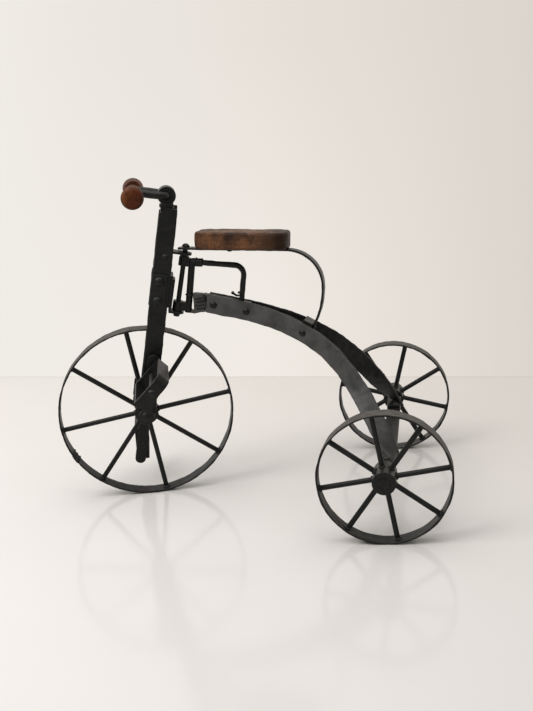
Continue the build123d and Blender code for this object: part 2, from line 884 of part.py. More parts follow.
# ---- seat and spring; both lean together a little towards the right
seat_place = Pos(0, 0, spring_rear_z) * Rot(seat_lean, 0, 0) * Pos(0, 0, -spring_rear_z)
spring_plane = Plane(
    origin=(spring_rear_x, 0, spring_rear_z),
    x_dir=(math.cos(rise), 0, math.sin(rise)),
    z_dir=(-math.sin(rise), 0, math.cos(rise)),
)


def spring_path():
    # flat under the seat, then a long bow down to the cross bar
    tip_x = crossing_x + spring_tip_reach
    tip = (tip_x, spring_rear_z + (tip_x - spring_rear_x) * math.tan(rise))
    rear = (spring_rear_x, spring_rear_z)
    top = Line(tip, rear)
    bow = JernArc(start=rear, tangent=top % 1, radius=spring_bend_radius, arc_size=90 - spring_rise)
    back = JernArc(
        start=bow @ 1, tangent=bow % 1, radius=spring_lower_radius, arc_size=90 - spring_foot_slope
    )
    foot = Line(back @ 1, (back @ 1) + (back % 1) * spring_foot_length)
    return Plane.XZ * Wire([top, bow, back, foot])


def spring_parts(straps):
    path = spring_path()
    start = Plane(origin=path @ 0, x_dir=(0, 1, 0), z_dir=path % 0)
    strip = sweep(start * Rectangle(spring_width, spring_thickness), path=path)
    corners = strip.edges().group_by(SortBy.LENGTH)[0].sort_by(Axis.X)[-2:]
    strip = fillet(corners, spring_tip_radius)
    foot_way = path % 1
    face_way = Vector(-foot_way.Z, 0, foot_way.X)
    if face_way.X < 0:
        face_way = -face_way
    foot_middle = (path @ 1) - foot_way * (spring_foot_length / 2)
    foot_face = foot_middle + face_way * (spring_thickness / 2)
    foot_plane = Plane(origin=foot_face, x_dir=(0, 1, 0), z_dir=face_way)
    shift = (spring_rear_z - foot_middle.Z) * math.tan(math.radians(seat_lean))
    bar = Pos(-shift, 0, cross_bar_depth / 2) * Box(cross_bar_length, cross_bar_height, cross_bar_depth)
    bar = seat_place * (foot_plane.location * bar)
    head = Rot(180, 0, 0) * dome(foot_bolt_head_radius, foot_bolt_head_height)
    bolt = upright(foot_bolt_radius, -spring_thickness, 2 * foot_bolt_radius)
    bolt += Pos(0, 0, -spring_thickness) * head
    bolt = seat_place * (foot_plane.location * bolt)

    pin_gap = axis_plane.location * upright(spring_hole_radius, 0, 2 * pin_head_low)
    clamp = Pos(seat_bolt_forward, 0, -spring_thickness / 2)
    clamp = clamp * (
        upright(seat_bolt_radius, 0, seat_bolt_depth)
        + Rot(180, 0, 0) * dome(seat_bolt_head_radius, seat_bolt_head_height)
    )
    screws = []
    for forward in (seat_screw_inset, seat_front - seat_screw_inset):
        screw = upright(seat_screw_radius, 0, seat_bolt_depth)
        screw += Rot(180, 0, 0) * dome(seat_screw_head_radius, seat_screw_head_height)
        screws.append(Pos(forward, 0, -spring_thickness / 2) * screw)
    fixings = [seat_place * (spring_plane.location * shape) for shape in [clamp] + screws]

    board = extrude(RectangleRounded(seat_length, seat_width, seat_corner_radius), seat_thickness)
    rims = board.edges().group_by(Axis.Z)
    board = fillet(rims[0] + rims[-1], seat_edge_radius)
    board = Pos(seat_front - seat_length / 2, 0, spring_thickness / 2) * board
    board = seat_place * (spring_plane.location * board)
    write("seat_board", less(board, fixings))
    write("seat_bolts", *fixings)
    write("seat_spring", less(seat_place * strip - pin_gap, fixings + [bolt]))
    write("spring_bolt", bolt)
    return less(bar, straps + [bolt])


def frame_parts():
    post = head_post()
    plate = head_plate(post)
    bar = brace_bar(post, plate)
    left = strap()
    straps = both_sides(left)
    bolts = axle_bolts()

    rivets = [through_rivet(station) for station in (front_rivet_station, middle_rivet_station)]
    cross_rivets = both_sides(cross_rivet())
    fixings = rivets + cross_rivets + bolts
    for name, shape in zip(("left", "right"), straps):
        write(f"{name}_strap", less(shape, fixings + [plate]))
    write("backbone_rivets", *(rivets + cross_rivets))
    write("axle_bolts", *bolts)
    write("head_plate", less(plate, rivets))
    write("head_post", post)
    write("brace_bar", bar)
    write("brace_hook", brace_hook(bar))
    cross_bar = spring_parts(straps)
    write("cross_bar", less(cross_bar, cross_rivets).solids().sort_by(SortBy.VOLUME)[-1])

    rear_bar = block(
        (axle_bar_x - axle_bar_width / 2, -shoulder_y, axle_bar_top - axle_bar_height),
        (axle_bar_x + axle_bar_width / 2, shoulder_y, axle_bar_top),
    )
    stub = crossways(stub_radius, shoulder_y - stub_root, axle_end_y, 0, rear_wheel_radius)
    rear_bar += stub + mirror(stub, Plane.XZ)
    write("rear_axle", less(rear_bar, bolts))
    washer_out = shoulder_y + axle_washer_thickness
    washer = spacer(shoulder_y, washer_out, rear_washer_radius, stub_radius)
    write("axle_washers", *both_sides(Pos(0, 0, rear_wheel_radius) * washer))
    ring_in = track_half + hub_half - hub_recess_depth + side_gap
    ring = spacer(ring_in, track_half + hub_half - side_gap, ring_radius, stub_radius)
    write("axle_rings", *both_sides(Pos(0, 0, rear_wheel_radius) * ring))


front_wheel()
front_axle()
axle_spacers()
cranks_and_pedals()
fork_head()
handlebar_parts()
steering_pin()
frame_parts()
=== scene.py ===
import json
import math
import random

import bmesh
import bpy
import numpy as np
from mathutils import Matrix, Vector

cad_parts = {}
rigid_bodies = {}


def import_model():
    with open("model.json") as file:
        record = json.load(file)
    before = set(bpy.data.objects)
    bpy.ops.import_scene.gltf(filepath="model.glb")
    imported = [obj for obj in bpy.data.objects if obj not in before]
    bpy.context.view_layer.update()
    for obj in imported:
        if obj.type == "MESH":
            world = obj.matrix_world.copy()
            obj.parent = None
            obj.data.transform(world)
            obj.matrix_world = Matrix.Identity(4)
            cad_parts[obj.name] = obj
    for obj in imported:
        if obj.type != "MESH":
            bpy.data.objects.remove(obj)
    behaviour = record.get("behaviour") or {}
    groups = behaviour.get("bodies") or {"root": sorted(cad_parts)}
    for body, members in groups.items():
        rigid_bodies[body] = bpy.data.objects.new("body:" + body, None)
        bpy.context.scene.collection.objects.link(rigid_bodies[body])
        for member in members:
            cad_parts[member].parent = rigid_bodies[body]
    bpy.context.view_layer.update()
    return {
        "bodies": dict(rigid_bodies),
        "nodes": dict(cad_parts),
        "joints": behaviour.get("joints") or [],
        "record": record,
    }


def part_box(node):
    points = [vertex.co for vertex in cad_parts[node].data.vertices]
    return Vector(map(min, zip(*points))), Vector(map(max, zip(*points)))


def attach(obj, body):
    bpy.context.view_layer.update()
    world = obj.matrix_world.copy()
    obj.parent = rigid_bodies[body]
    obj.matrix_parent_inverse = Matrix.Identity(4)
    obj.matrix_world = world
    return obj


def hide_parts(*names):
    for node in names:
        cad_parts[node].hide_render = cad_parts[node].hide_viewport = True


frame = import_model()
nodes = frame["nodes"]
scene = bpy.context.scene
mm = 0.001


def middleOf(node):
    low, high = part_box(node)
    return (low + high) / 2


def jointNamed(name):
    return next(joint for joint in frame["joints"] if joint["name"] == name)


def bodyOf(node):
    return next(name for name, empty in frame["bodies"].items() if empty == nodes[node].parent)


sideways = Vector((0, 1, 0))
rearAxle = middleOf("left_rim") * Vector((1, 0, 1))
frontHub = Vector(jointNamed("front_wheel_spin")["pos_m"])
forkLeft = Vector(jointNamed("front_wheel_spin")["axis"]).normalized()
forkLeft *= math.copysign(1, forkLeft.y)
steerUp = Vector(jointNamed("steering")["axis"]).normalized()
forkAhead = forkLeft.cross(steerUp).normalized()
wheelUp = forkAhead.cross(forkLeft).normalized()
print("frame loaded,", len(nodes), "nodes")

cameraSet = {
    "place": (-0.07883, 1.59531, 0.64297),  # from the floor below the middle of the rear axle, in metres
    "turn": 9.716,
    "tip": 14.217,
    "roll": -4.037,
    "lens": 51.938,
    "farthest": 30,
}


def addCamera(values):
    turn, tip, roll = (math.radians(values[key]) for key in ("turn", "tip", "roll"))
    ahead = Vector((math.sin(turn) * math.cos(tip), -math.cos(turn) * math.cos(tip), -math.sin(tip)))
    right = ahead.cross(Vector((0, 0, 1))).normalized()
    above = right.cross(ahead)
    rolledRight = right * math.cos(roll) + above * math.sin(roll)
    rolledAbove = above * math.cos(roll) - right * math.sin(roll)
    camera = bpy.data.objects.new("camera", bpy.data.cameras.new("camera"))
    camera.data.lens = values["lens"]
    camera.data.clip_end = values["farthest"]
    axes = Matrix((rolledRight, rolledAbove, -ahead)).transposed()
    place = Vector(values["place"]) + Vector((rearAxle.x, 0, 0))
    camera.matrix_world = Matrix.Translation(place) @ axes.to_4x4()
    scene.collection.objects.link(camera)
    scene.camera = camera


addCamera(cameraSet)
print("camera set")


def newGroup(name, inputs, outputs):
    group = bpy.data.node_groups.new(name, "ShaderNodeTree")
    for label, kind, value in inputs:
        socket = group.interface.new_socket(name=label, in_out="INPUT", socket_type=kind)
        socket.default_value = value
    for label, kind in outputs:
        group.interface.new_socket(name=label, in_out="OUTPUT", socket_type=kind)
    return group, group.nodes.new("NodeGroupInput"), group.nodes.new("NodeGroupOutput")


def addNode(tree, kind, links=(), **settings):
    node = tree.nodes.new("ShaderNode" + kind)
    for key, value in settings.items():
        setattr(node, key, value)
    for socket, source in dict(links).items():
        if isinstance(source, bpy.types.NodeSocket):
            tree.links.new(source, node.inputs[socket])
        else:
            node.inputs[socket].default_value = source
    return node


def mathNode(tree, operation, *values, clamp=False):
    return addNode(tree, "Math", enumerate(values), operation=operation, use_clamp=clamp).outputs[0]


def times(tree, first, second, clamp=False):
    return mathNode(tree, "MULTIPLY", first, second, clamp=clamp)


def vectorNode(tree, operation, *values):
    return addNode(tree, "VectorMath", enumerate(values), operation=operation)


def mixColour(tree, factor, first, second):
    return addNode(tree, "Mix", {0: factor, 6: first, 7: second}, data_type="RGBA").outputs[2]


def spread(tree, value, low, high, outLow=0.0, outHigh=1.0):
    return addNode(tree, "MapRange", {0: value, 1: low, 2: high, 3: outLow, 4: outHigh}).outputs[0]


def noiseNode(tree, vector, scale, detail=3.0, roughness=0.55, distortion=0.0):
    links = {
        "Vector": vector,
        "Scale": scale,
        "Detail": detail,
        "Roughness": roughness,
        "Distortion": distortion,
    }
    return addNode(tree, "TexNoise", links).outputs[0]


surfaceOutputs = [
    ("Color", "NodeSocketColor"),
    ("Roughness", "NodeSocketFloat"),
    ("Height", "NodeSocketFloat"),
]


def putOut(group, leave, tone, rough, height):
    for (label, kind), source in zip(surfaceOutputs, (tone, rough, height)):
        group.links.new(source, leave.inputs[label])


ironSet = {
    # grains in a metre, their detail and roughness
    "broad": (38, 4),
    "middle": (130, 4, 0.6),
    "fine": (520, 5, 0.62),
    "rustGrain": (55, 5, 0.6),
    "streakGrain": (75, 5, 0.7, 1.5),
    "dents": {"Scale": 150.0, "Smoothness": 0.8},
    # values between which an effect comes on, then how weak and how strong it is there
    "patches": (0.42, 0.72),
    "specks": (0.56, 0.72),
    "rustField": (0.56, 0.72),
    "corners": (0.99, 0.84),
    "broken": (0.40, 0.60),
    "facingUp": (0.35, 0.95),
    "dustySheen": (0.3, 0.7, 0.35, 1.0),
    "streaks": (0.35, 0.65, 0.25, 1.0),
    "outerSheen": (0.3, 0.62, 0.45, 1.0),
    "satin": (0.3, 0.7, -0.06, 0.1),
    # metres of corner that the wear and the painted highlight reach, then what is added to the roughness and
    # the height
    "cornerWidth": 0.0012,
    "patchRough": 0.12,
    "dustAndSheenRough": 0.25,
    "broadHeight": 0.8,
    "fineHeight": 0.14,
    "dentHeight": 0.3,
    "rustDepth": 0.12,
}


def makeIronGroup(grain):
    inputs = [
        ("Black", "NodeSocketColor", (0.0035, 0.004, 0.004, 1)),
        ("Grey", "NodeSocketColor", (0.014, 0.0145, 0.0145, 1)),
        ("EdgeAndHighlight", "NodeSocketColor", (0.10, 0.098, 0.094, 1)),
        ("Rust", "NodeSocketColor", (0.085, 0.034, 0.014, 1)),
        # grey-brown of dust and of a painted sheen of overhead light
        ("DustAndSheen", "NodeSocketColor", (0.12, 0.108, 0.094, 1)),
        ("Outer Sheen", "NodeSocketColor", (0.080, 0.080, 0.079, 1)),
        ("Mottle", "NodeSocketFloat", 0.5),
        ("Rust Amount", "NodeSocketFloat", 0.2),
        ("EdgeAndHighlight Wear", "NodeSocketFloat", 0.5),
        ("DustAndSheen Amount", "NodeSocketFloat", 0.3),
        ("Satin", "NodeSocketFloat", 0.36),
    ]
    group, entry, leave = newGroup("forgedIron", inputs, surfaceOutputs)
    value = entry.outputs
    texture = addNode(group, "TexCoord").outputs
    place = texture["Object"]
    broad = noiseNode(group, place, *grain["broad"])
    middle = noiseNode(group, place, *grain["middle"])
    fine = noiseNode(group, place, *grain["fine"])
    cells = {"Vector": place, **grain["dents"]}
    dented = addNode(group, "TexVoronoi", cells, feature="SMOOTH_F1").outputs["Distance"]
    # greyer patches where the black has thinned
    patches = times(group, spread(group, broad, *grain["patches"]), value["Mottle"])
    specks = spread(group, fine, *grain["specks"])
    rustField = spread(group, noiseNode(group, place, *grain["rustGrain"]), *grain["rustField"])
    rust = times(group, times(group, rustField, specks), value["Rust Amount"], clamp=True)
    # bare worn metal and a painted highlight on the corners
    bevel = addNode(group, "Bevel", {"Radius": grain["cornerWidth"]}, samples=4).outputs[0]
    flat = addNode(group, "NewGeometry").outputs["Normal"]
    same = vectorNode(group, "DOT_PRODUCT", bevel, flat).outputs["Value"]
    corners = spread(group, same, *grain["corners"])
    broken = spread(group, middle, *grain["broken"])
    bareAndHighlit = times(group, times(group, corners, broken), value["EdgeAndHighlight Wear"], clamp=True)
    # dust and a painted sheen of overhead light lie on what faces up, and in streaks on a band's tread
    level = addNode(group, "SeparateXYZ", {0: texture["Normal"]}).outputs["Z"]
    facingUp = spread(group, level, *grain["facingUp"])
    settledDustAndSheen = times(group, facingUp, spread(group, middle, *grain["dustySheen"]))
    tread = addNode(group, "Attribute", attribute_name="tread").outputs["Fac"]
    streaks = spread(group, noiseNode(group, place, *grain["streakGrain"]), *grain["streaks"])
    settledDustAndSheen = times(group, settledDustAndSheen, value["DustAndSheen Amount"])
    dustAndSheen = mathNode(group, "MAXIMUM", settledDustAndSheen, times(group, tread, streaks), clamp=True)
    # painted sheen of reflected light on faces that look outward
    outerSheen = addNode(group, "Attribute", attribute_name="outerSheen").outputs["Fac"]
    outerSheen = times(group, outerSheen, spread(group, broad, *grain["outerSheen"]), clamp=True)
    tone = mixColour(group, patches, value["Black"], value["Grey"])
    for mask, label in ((outerSheen, "Outer Sheen"), (dustAndSheen, "DustAndSheen"), (bareAndHighlit, "EdgeAndHighlight"), (rust, "Rust")):
        tone = mixColour(group, mask, tone, value[label])
    rough = mathNode(group, "ADD", value["Satin"], spread(group, fine, *grain["satin"]))
    rough = mathNode(group, "ADD", rough, times(group, patches, grain["patchRough"]))
    rough = mathNode(group, "ADD", rough, times(group, dustAndSheen, grain["dustAndSheenRough"]), clamp=True)
    waves, grit = times(group, broad, grain["broadHeight"]), times(group, fine, grain["fineHeight"])
    height = mathNode(group, "ADD", waves, grit)
    height = mathNode(group, "ADD", height, times(group, dented, grain["dentHeight"]))
    height = mathNode(group, "SUBTRACT", height, times(group, rust, grain["rustDepth"]))
    putOut(group, leave, tone, rough, height)
    return group


woodSet = {
    # grains in a metre, their detail and roughness
    "warp": (26, 3),
    "fibre": (900, 4, 0.65),
    "blotchGrain": (30, 4, 0.6),
    "glowGrain": (46, 4, 0.6, 0.6),
    "rings": {"Distortion": 4.0, "Detail": 3.0, "Detail Scale": 2.0},
    # values between which an effect comes on, then how weak and how strong it is there
    "blotches": (0.44, 0.62),
    "lightRings": (0.1, 0.9),
    "glow": (0.5, 0.68, 0, 0.5),
    "darkFibre": (0.52, 0.75, 0, 0.7),
    "rough": (0.3, 0.7, 0.4, 0.58),
    "darkEnd": (-0.008, -0.06),  # metres from the middle of the board
    "glowColour": (0.22, 0.085, 0.03, 1),
    "fibreHeight": 0.5,
    "ringHeight": 0.2,
}


def makeWoodGroup(grain):
    inputs = [
        ("Vector", "NodeSocketVector", (0, 0, 0)),
        ("Dark", "NodeSocketColor", (0.004, 0.002, 0.0012, 1)),
        ("Mid", "NodeSocketColor", (0.066, 0.026, 0.012, 1)),
        ("Light", "NodeSocketColor", (0.21, 0.098, 0.047, 1)),
        ("Ring Scale", "NodeSocketFloat", 60.0),
        ("Blotches", "NodeSocketFloat", 0.6),
        ("Dark End", "NodeSocketFloat", 0.0),
        ("Stretch", "NodeSocketVector", (0.12, 1, 1)),
    ]
    group, entry, leave = newGroup("oiledWood", inputs, surfaceOutputs)
    value = entry.outputs
    vector = value["Vector"]
    along = vectorNode(group, "MULTIPLY", vector, value["Stretch"]).outputs[0]
    warp = noiseNode(group, along, *grain["warp"])
    shifted = vectorNode(group, "ADD", along, warp).outputs[0]
    links = {"Vector": shifted, "Scale": value["Ring Scale"], **grain["rings"]}
    rings = addNode(group, "TexWave", links, wave_type="RINGS", rings_direction="X").outputs["Fac"]
    fibre = noiseNode(group, along, *grain["fibre"])
    blotch = spread(group, noiseNode(group, vector, *grain["blotchGrain"]), *grain["blotches"])
    blotch = times(group, blotch, value["Blotches"])
    # painted shade darkens the board towards its rear end
    length = addNode(group, "SeparateXYZ", {0: vector}).outputs["X"]
    endShade = times(group, spread(group, length, *grain["darkEnd"]), value["Dark End"])
    # from here the blotch mask also carries the painted shade of that end
    blotch = mathNode(group, "MAXIMUM", blotch, endShade, clamp=True)
    glow = spread(group, noiseNode(group, vector, *grain["glowGrain"]), *grain["glow"])
    tone = mixColour(group, spread(group, rings, *grain["lightRings"]), value["Mid"], value["Light"])
    tone = mixColour(group, glow, tone, grain["glowColour"])
    tone = mixColour(group, spread(group, fibre, *grain["darkFibre"]), tone, value["Dark"])
    tone = mixColour(group, blotch, tone, value["Dark"])
    rough = spread(group, fibre, *grain["rough"])
    raised = times(group, fibre, grain["fibreHeight"])
    height = mathNode(group, "ADD", raised, times(group, rings, grain["ringHeight"]))
    putOut(group, leave, tone, rough, height)
    return group


ironGroup = makeIronGroup(ironSet)
woodGroup = makeWoodGroup(woodSet)


# bump is the height of the surface's grain in metres, shine is the strength of its mirrored light
def finishMaterial(name, group, values, bump, shine, grainOf=None):
    material = bpy.data.materials.new(name)
    material.use_nodes = True
    tree = material.node_tree
    shader = tree.nodes["Principled BSDF"]
    effect = tree.nodes.new("ShaderNodeGroup")
    effect.node_tree = group
    for key, value in values.items():
        effect.inputs[key].default_value = value
    if grainOf:
        tree.links.new(grainOf(tree), effect.inputs["Vector"])
    relief = {"Height": effect.outputs["Height"], "Distance": bump, "Strength": 1.0}
    tree.links.new(effect.outputs["Color"], shader.inputs["Base Color"])
    tree.links.new(effect.outputs["Roughness"], shader.inputs["Roughness"])
    tree.links.new(addNode(tree, "Bump", relief).outputs[0], shader.inputs["Normal"])
    shader.inputs["Specular IOR Level"].default_value = shine
    return material


# how strong each effect is on each kind of iron, 0 to 1
ironLooks = {
    "black_iron": {"Mottle": 0.5, "Rust Amount": 0.3, "EdgeAndHighlight Wear": 0.6, "DustAndSheen Amount": 0.16, "Satin": 0.36},
    "worn_band": {"Mottle": 0.7, "Rust Amount": 0.5, "EdgeAndHighlight Wear": 0.75, "DustAndSheen Amount": 0.05, "Satin": 0.42},
    "rivet_iron": {"Mottle": 0.55, "Rust Amount": 0.45, "EdgeAndHighlight Wear": 0.4, "DustAndSheen Amount": 0.3, "Satin": 0.34},
    "pin_steel": {"Mottle": 0.6, "Rust Amount": 0.9, "EdgeAndHighlight Wear": 0.5, "DustAndSheen Amount": 0.3, "Satin": 0.36},
}
materials = {
    slot: finishMaterial(slot, ironGroup, values, bump=0.0003, shine=0.3)
    for slot, values in ironLooks.items()
}
seatMiddle = middleOf("seat_board")


def seatGrain(tree):
    place = addNode(tree, "TexCoord").outputs["Object"]
    return vectorNode(tree, "SUBTRACT", place, seatMiddle).outputs[0]


def gripGrain(tree):
    return addNode(tree, "TexCoord").outputs["Object"]


woodLooks = {
    "seat_wood": ({"Blotches": 0.8, "Dark End": 0.85}, seatGrain),
    "grip_wood": (
        {
            "Blotches": 0.5,
            "Stretch": (1, 0.15, 1),
            "Mid": (0.042, 0.0085, 0.002, 1),
            "Light": (0.12, 0.027, 0.006, 1),
        },
        gripGrain,
    ),
}
for slot, (values, grainOf) in woodLooks.items():
    materials[slot] = finishMaterial(slot, woodGroup, values, bump=0.0002, shine=0.16, grainOf=grainOf)

slotOf = {row["node"]: row["material_slot"] for row in frame["record"]["subparts"]}
for name, piece in nodes.items():
    piece.data.materials.clear()
    piece.data.materials.append(materials[slotOf[name]])
print("materials on")

# size of the skin's cells, how often its corners are eased, depth of the hammer's dents, in mm
forgedSet = {
    "front_rim": (0.85, 3, 0.22),
    "left_rim": (0.85, 3, 0.22),
    "right_rim": (0.85, 3, 0.22),
    "left_strap": (0.9, 4, 0.30),
    "right_strap": (0.9, 4, 0.30),
    "left_blade": (0.9, 3, 0.22),
    "right_blade": (0.9, 3, 0.22),
    "fork_cheeks": (0.7, 3, 0.18),
    "head_plate": (0.8, 3, 0.30),
    "brace_bar": (0.6, 3, 0.16),
    "brace_hook": (0.4, 2, 0.10),
    "handlebar": (0.7, 3, 0.12),
    "bar_socket": (0.6, 3, 0.10),
    "seat_spring": (0.7, 3, 0.14),
    "cross_bar": (0.7, 3, 0.20),
    "backbone_rivets": (0.5, 2, 0.14),
    "axle_bolts": (0.5, 2, 0.14),
    "fork_bolts": (0.5, 2, 0.14),
    "seat_board": (1.1, 8, 0.30),
}


def meshArrays(mesh):
    points = np.empty(len(mesh.vertices) * 3)
    normals = np.empty(len(mesh.vertices) * 3)
    mesh.vertices.foreach_get("co", points)
    mesh.vertex_normals.foreach_get("vector", normals)
    return points.reshape(-1, 3), normals.reshape(-1, 3)


# dents of the hammer, as waves that run all ways through the iron: lengths in mm
dentSet = {"waves": 26, "lengths": (9, 48)}


def dents(points, depth, seed, waves, lengths):
    draw = random.Random(seed)
    total = np.zeros(len(points))
    for step in range(waves):
        way = Vector((draw.gauss(0, 1), draw.gauss(0, 1), draw.gauss(0, 1))).normalized()
        length = draw.uniform(*lengths) * mm
        total += np.sin(points @ np.array(way) * (2 * math.pi / length) + draw.uniform(0, 6.28))
    return total * (depth / math.sqrt(waves / 2))


def evaluated(piece):
    graph = bpy.context.evaluated_depsgraph_get()
    return bpy.data.meshes.new_from_object(piece.evaluated_get(graph))


def forgedCopy(node, cell, eased, depth, seed):
    piece = bpy.data.objects.new(node + "_forged", nodes[node].data.copy())
    scene.collection.objects.link(piece)
    piece.matrix_world = nodes[node].matrix_world.copy()
    skin = piece.modifiers.new("skin", "REMESH")
    skin.mode = "VOXEL"
    skin.voxel_size = cell * mm
    ease = piece.modifiers.new("ease", "SMOOTH")
    ease.factor = 0.5
    ease.iterations = eased
    mesh = evaluated(piece)
    piece.modifiers.clear()
    points, normals = meshArrays(mesh)
    points += normals * dents(points, depth * mm, seed, **dentSet)[:, None]
    mesh.vertices.foreach_set("co", points.ravel())
    mesh.polygons.foreach_set("use_smooth", np.ones(len(mesh.polygons), dtype=bool))
    mesh.materials.clear()
    mesh.materials.append(materials[slotOf[node]])
    mesh.update()
    piece.data = mesh
    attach(piece, bodyOf(node))
    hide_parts(node)
    return piece


forged = {
    node: forgedCopy(node, *values, seed) for seed, (node, values) in enumerate(forgedSet.items())
}
print("forged pieces", len(forged))

# how far a face has turned out before a mark starts, and how quickly the mark then comes on
markSet = {
    "tread": {"start": 0.5, "gain": 1.8},
    "outerSheen": {"start": 0.35, "gain": 1.6},
}


def mark(node, label, facing, amount=1.0):
    values = (facing - markSet[label]["start"]) * markSet[label]["gain"] * amount
    layer = forged[node].data.attributes.new(label, "FLOAT", "POINT")
    layer.data.foreach_set("value", np.clip(values, 0, 1))


# the tread of a band, on the face that looks away from the wheel's middle, takes dust and a painted sheen of
# light
def markTread(node, centre, axis):
    points, normals = meshArrays(forged[node].data)
    away = points - np.array(centre)
    away -= (away @ np.array(axis))[:, None] * np.array(axis)
    away /= np.linalg.norm(away, axis=1)[:, None]
    mark(node, "tread", (away * normals).sum(1))


# middle and axle of the wheel that each band belongs to
treadSet = {
    "front_rim": (frontHub, forkLeft),
    "left_rim": (rearAxle, sideways),
    "right_rim": (rearAxle, sideways),
}
for node, (centre, axis) in treadSet.items():
    markTread(node, centre, axis)

# outward faces painted lighter as a sheen of reflected light: the side they look to, left is 1, and how
# strong the painted sheen is
outerSheenSet = {"left_strap": (1, 1.0), "right_strap": (-1, 1.0), "head_plate": (1, 0.8)}
for node, (side, amount) in outerSheenSet.items():
    normals = meshArrays(forged[node].data)[1]
    mark(node, "outerSheen", normals[:, 1] * side, amount)
print("treads and rubbed faces marked")


def tubeFaces(shape, rows):
    count = len(rows[0])
    for first, second in zip(rows, rows[1:]):
        for part in range(count):
            after = (part + 1) % count
            shape.faces.new((first[part], second[part], second[after], first[after]))


# ring of weld: points around the bar and around the weld, how many lumps, how high and how uneven they are
beadSet = {
    "around": 30,
    "section": 8,
    "lumps": (4, 7),
    "high": 0.2,
    "uneven": 0.25,
    "strays": (0.8, 1.2),
}


def addBead(shape, centre, axis, radius, thick, seed, flat):
    draw = random.Random(seed)
    around, section = beadSet["around"], beadSet["section"]
    across = axis.orthogonal().normalized()
    beside = axis.cross(across)
    lumps, turn = draw.randint(*beadSet["lumps"]), draw.uniform(0, 6)
    strays = [draw.uniform(*beadSet["strays"]) for step in range(around)]
    rows = []
    for step in range(around):
        angle = step * math.tau / around
        swell = 1 + beadSet["high"] * math.sin(lumps * angle + turn)
        swell += beadSet["uneven"] * (strays[step] - 1)
        size = thick * swell
        out = across * math.cos(angle) + beside * math.sin(angle)
        row = []
        for part in range(section):
            tip = part * math.tau / section
            way = out * (radius + size * math.cos(tip)) + axis * (size * flat * math.sin(tip))
            row.append(shape.verts.new(centre + way))
        rows.append(row)
    tubeFaces(shape, rows + rows[:1])


# run of weld: length of a scale and of a step in mm, points around it, how the scales swell and stray
seamSet = {
    "scale": 2.6,
    "step": 0.45,
    "section": 10,
    "low": 0.72,
    "high": 0.38,
    "uneven": 0.05,
    "astray": 0.1,
    "fewest": 6,
}


def addSeam(shape, start, end, thick, seed):
    draw = random.Random(seed)
    axis = (end - start).normalized()
    across = axis.orthogonal().normalized()
    beside = axis.cross(across)
    length, section = (end - start).length, seamSet["section"]
    uneven, astray = seamSet["uneven"], seamSet["astray"]
    steps = max(seamSet["fewest"], int(length / (seamSet["step"] * mm)))
    rows = []
    for step in range(steps + 1):
        share = step / steps
        run = length * share
        scales = abs(math.sin(run / (seamSet["scale"] * mm) * math.pi))
        swell = seamSet["low"] + seamSet["high"] * scales + draw.uniform(-uneven, uneven)
        # both ends are rounded off
        swell *= math.sqrt(max(0.02, 1 - abs(2 * share - 1) ** 8))
        shift = across * draw.uniform(-astray, astray) * thick
        row = []
        for part in range(section):
            tip = part * math.tau / section
            out = across * math.cos(tip) + beside * math.sin(tip)
            row.append(shape.verts.new(start + axis * run + shift + out * (thick * swell)))
        rows.append(row)
    tubeFaces(shape, rows)
    shape.faces.new(list(reversed(rows[0])))
    shape.faces.new(rows[-1])


def addPiece(name, shape, body, slot):
    bmesh.ops.recalc_face_normals(shape, faces=shape.faces)
    mesh = bpy.data.meshes.new(name)
    shape.to_mesh(mesh)
    shape.free()
    for face in mesh.polygons:
        face.use_smooth = True
    mesh.materials.append(materials[slot])
    piece = bpy.data.objects.new(name, mesh)
    scene.collection.objects.link(piece)
    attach(piece, body)


# the two ends of each spoke, nearest the hub first, each the middle of the last few corners there
def spokeEnds(node, centre, few=12):
    shape = bmesh.new()
    shape.from_mesh(nodes[node].data)
    bmesh.ops.remove_doubles(shape, verts=shape.verts, dist=1e-6)
    found, ends = set(), []
    for start in shape.verts:
        if start in found:
            continue
        found.add(start)
        spoke = [start]
        for vert in spoke:
            near = [link.other_vert(vert) for link in vert.link_edges]
            fresh = [other for other in near if other not in found]
            found.update(fresh)
            spoke += fresh
        far = sorted(spoke, key=lambda vert: (vert.co - centre).length)
        inner = sum((vert.co for vert in far[:few]), Vector()) / few
        outer = sum((vert.co for vert in far[-few:]), Vector()) / few
        ends.append((inner, outer))
    shape.free()
    return ends


# rings of weld at both ends of a spoke in mm: its radius, and at each end the ring's thickness, how far
# out of the band's inside or the hub's face it sits, and how flat it is
spokeWeldSet = {
    "radius": 3.9,
    "band": {"thick": 2.3, "out": -0.3, "flat": 0.7},
    "hub": {"thick": 1.9, "out": 0.1, "flat": 0.9},
    "hubSeed": 40,
}


def weldWheel(wheel, centre, axis, bandInside, hubRadius, seed):
    shape = bmesh.new()
    radius, band, hub = spokeWeldSet["radius"] * mm, spokeWeldSet["band"], spokeWeldSet["hub"]
    for index, (inner, outer) in enumerate(spokeEnds(wheel + "_spokes", centre)):
        way = outer - inner
        way -= axis * way.dot(axis)
        way.normalize()
        tip = centre + axis * (outer - centre).dot(axis) + way * ((bandInside + band["out"]) * mm)
        addBead(shape, tip, way, radius, band["thick"] * mm, seed + index, band["flat"])
        foot = centre + axis * (inner - centre).dot(axis) + way * ((hubRadius + hub["out"]) * mm)
        hubSeed = seed + spokeWeldSet["hubSeed"] + index
        addBead(shape, foot, way, radius, hub["thick"] * mm, hubSeed, hub["flat"])
    addPiece(wheel + "_wheel_welds", shape, bodyOf(wheel + "_rim"), "black_iron")


leftMiddle, rightMiddle = (
    Vector((rearAxle.x, middleOf(node).y, rearAxle.z)) for node in ("left_rim", "right_rim")
)
